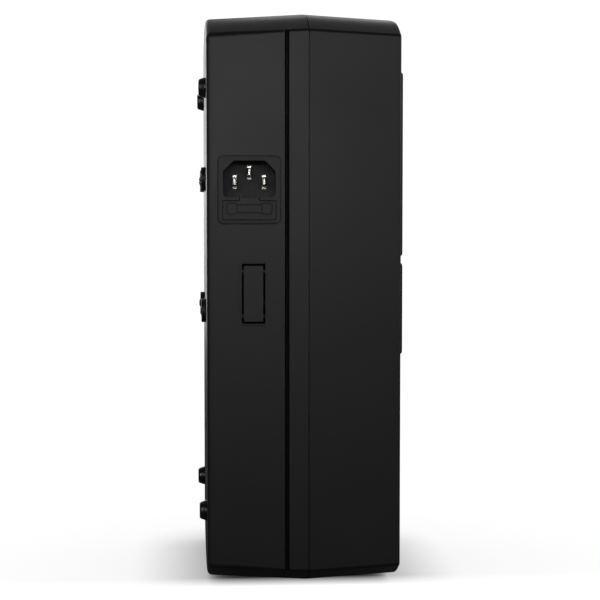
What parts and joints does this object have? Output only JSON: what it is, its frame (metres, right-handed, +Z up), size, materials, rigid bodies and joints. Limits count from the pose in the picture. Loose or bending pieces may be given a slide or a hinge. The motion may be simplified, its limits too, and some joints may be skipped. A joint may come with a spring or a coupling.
{
  "type": "battery backup unit",
  "caption": "Tall two-shell battery backup unit with a fused mains inlet on one side, display and keys on the front and rubber feet behind.",
  "frame": {"origin": "middle of the footprint of the whole unit, at the lowest point of its crowned lower end", "axes": "+Z up along the long axis, +X out of the front face with the display, -X out of the rear face with the feet, -Y out of the mains inlet side"},
  "size_m": [0.0982, 0.1515, 0.2826],
  "materials": {
    "black_steel": "black oxide",
    "board_green": "solder-resist green",
    "brass_strip": "stamped brass",
    "brass_turned": "turned brass",
    "capacitor_sleeve": "shrink sleeve",
    "case_black": "fine moulded texture",
    "cell_sleeve": "shrink-wrapped metal can",
    "component_black": "moulded epoxy",
    "ferrite_core": "ground ferrite",
    "foam_grey": "closed-cell foam",
    "foot_rubber": "smooth, slightly glossy",
    "frame_gloss": "satin black",
    "fuse_glass": "clear tube",
    "heat_sink_alloy": "extruded",
    "holder_plastic": "moulded",
    "key_grey": "fine moulded texture",
    "lcd_dark": "unlit display",
    "nickel_plate": "bright nickel plate",
    "nickel_strip": "rolled nickel strip",
    "rocker_black": "polished",
    "socket_black": "fine moulded texture",
    "washer_nylon": "smooth nylon",
    "winding_copper": "enamelled copper wire",
    "window_clear": "tinted clear window",
    "zinc_sheet": "zinc-coated sheet",
    "zinc_steel": "zinc plated"
  },
  "bodies": {
    "case": {"board_spacers": "holder_plastic", "board_standoffs": "brass_turned", "capacitors": "capacitor_sleeve", "case_screws": "zinc_steel", "cell_1": "cell_sleeve", "cell_2": "cell_sleeve", "cell_3": "cell_sleeve", "cell_4": "cell_sleeve", "cell_5": "cell_sleeve", "cell_6": "cell_sleeve", "cell_7": "cell_sleeve", "cell_8": "cell_sleeve", "cell_links": "nickel_strip", "chassis_plate": "zinc_sheet", "clinch_nuts": "zinc_steel", "display_frame": "frame_gloss", "display_window": "window_clear", "earth_pin": "nickel_plate", "front_shell": "case_black", "fuse_contacts": "brass_strip", "heat_sink": "heat_sink_alloy", "inlet_body": "socket_black", "isolator_body": "socket_black", "isolator_tabs": "brass_strip", "key_plate": "frame_gloss", "key_switches": "component_black", "lcd_module": "lcd_dark", "line_pin": "nickel_plate", "lower_holder": "holder_plastic", "main_board": "board_green", "main_board_screws": "zinc_steel", "management_board": "board_green", "neutral_pin": "nickel_plate", "outlet_body": "socket_black", "outlet_contacts": "brass_strip", "pack_pads": "foam_grey", "panel_board": "board_green", "panel_board_screws": "zinc_steel", "power_transistors": "component_black", "rear_screws": "black_steel", "rear_shell": "case_black", "rear_washers": "washer_nylon", "relays": "component_black", "rubber_feet": "foot_rubber", "tie_rods": "zinc_steel", "transformer_core": "ferrite_core", "transformer_winding": "winding_copper", "upper_holder": "holder_plastic"},
    "fuse_drawer": {"fuse_drawer": "socket_black", "mains_fuse": "fuse_glass", "fuse_caps": "nickel_plate"},
    "power_button": {"power_button": "key_grey"},
    "key_1": {"key_1": "key_grey"},
    "key_2": {"key_2": "key_grey"},
    "key_3": {"key_3": "key_grey"},
    "isolator_rocker": {"isolator_rocker": "rocker_black"}
  },
  "joints": [
    {"name": "fuse_drawer_slide", "type": "slide", "parent": "case", "child": "fuse_drawer", "axis": [-0.0349, -0.9994, 0], "range_m": [0, 0.022]},
    {"name": "power_button_press", "type": "slide", "parent": "case", "child": "power_button", "axis": [-1, 0, 0], "range_m": [0, 0.0008], "stiffness_N_per_m": 1500, "springref_m": -0.0006},
    {"name": "key_1_press", "type": "slide", "parent": "case", "child": "key_1", "axis": [-1, 0, 0], "range_m": [0, 0.0008], "stiffness_N_per_m": 1500, "springref_m": -0.0006},
    {"name": "key_2_press", "type": "slide", "parent": "case", "child": "key_2", "axis": [-1, 0, 0], "range_m": [0, 0.0008], "stiffness_N_per_m": 1500, "springref_m": -0.0006},
    {"name": "key_3_press", "type": "slide", "parent": "case", "child": "key_3", "axis": [-1, 0, 0], "range_m": [0, 0.0008], "stiffness_N_per_m": 1500, "springref_m": -0.0006},
    {"name": "isolator_tilt", "type": "hinge", "parent": "case", "child": "isolator_rocker", "pos_m": [-0.02551, 0.07173, 0.1533], "axis": [-0.9994, -0.0349, 0], "range_deg": [-20, 0]}
  ]
}
